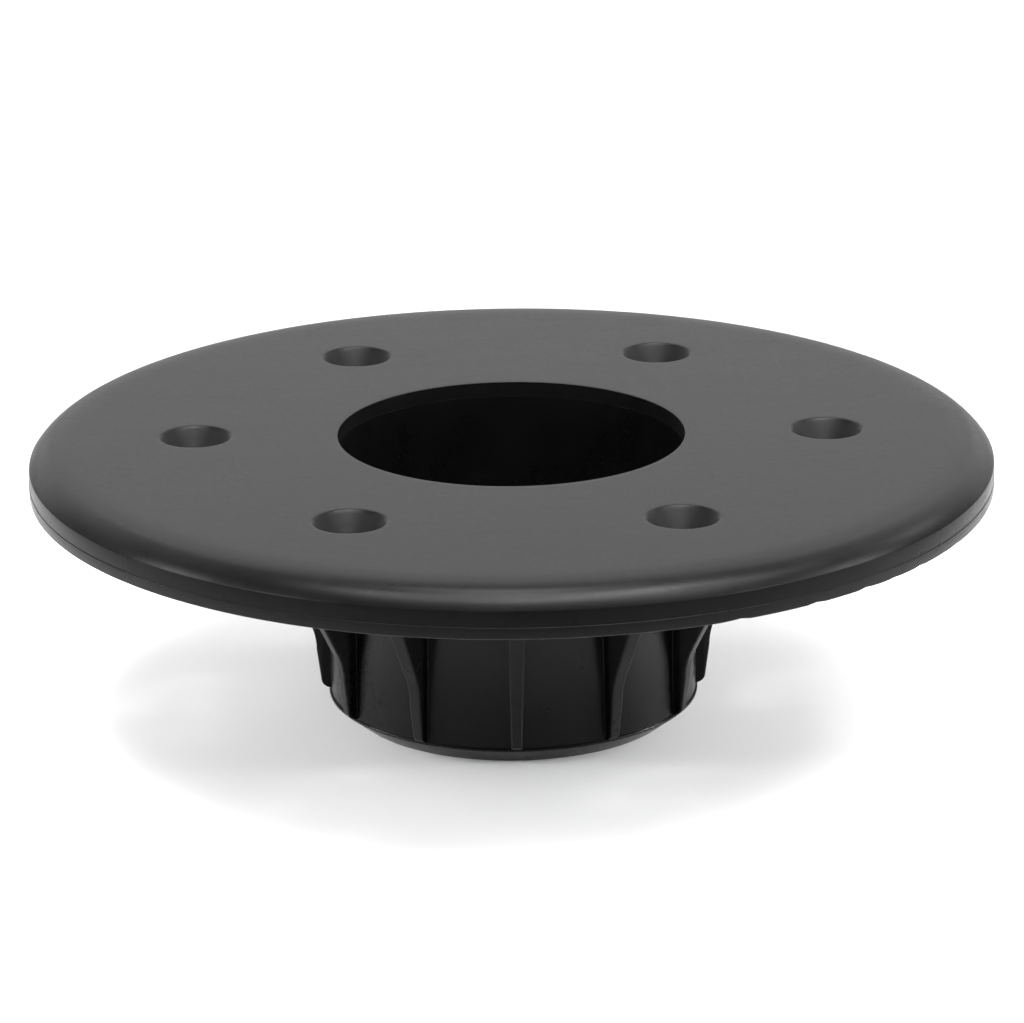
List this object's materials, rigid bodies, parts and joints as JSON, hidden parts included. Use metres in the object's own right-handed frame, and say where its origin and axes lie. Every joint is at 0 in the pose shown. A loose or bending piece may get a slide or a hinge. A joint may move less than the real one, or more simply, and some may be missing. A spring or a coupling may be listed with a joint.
{
  "type": "floor flange",
  "caption": "Round black floor flange with a crowned rim, countersunk screw holes and a short ribbed socket hub below for a push-in pipe or post.",
  "frame": {"origin": "on the socket bore's axis, in the plane of the flange's underside, which is the face that meets the floor", "axes": "+Z along the bore axis, up out of the socket's mouth; +X through the centre of one screw hole; the hub hangs below z = 0"},
  "size_m": [0.165, 0.165, 0.0494],
  "materials": {
    "cover_plastic": "satin black moulded ABS with a fine grain",
    "hub_plastic": "satin black moulded ABS, slightly smoother than the cover",
    "ring_plastic": "satin black moulded ABS",
    "gasket_rubber": "dull black rubber",
    "seal_rubber": "dull black rubber"
  },
  "bodies": {
    "root": {"flange_cover": "cover_plastic", "hub_body": "hub_plastic", "end_ring": "ring_plastic", "seat_gasket": "gasket_rubber", "collar_seal": "seal_rubber"}
  },
  "joints": []
}
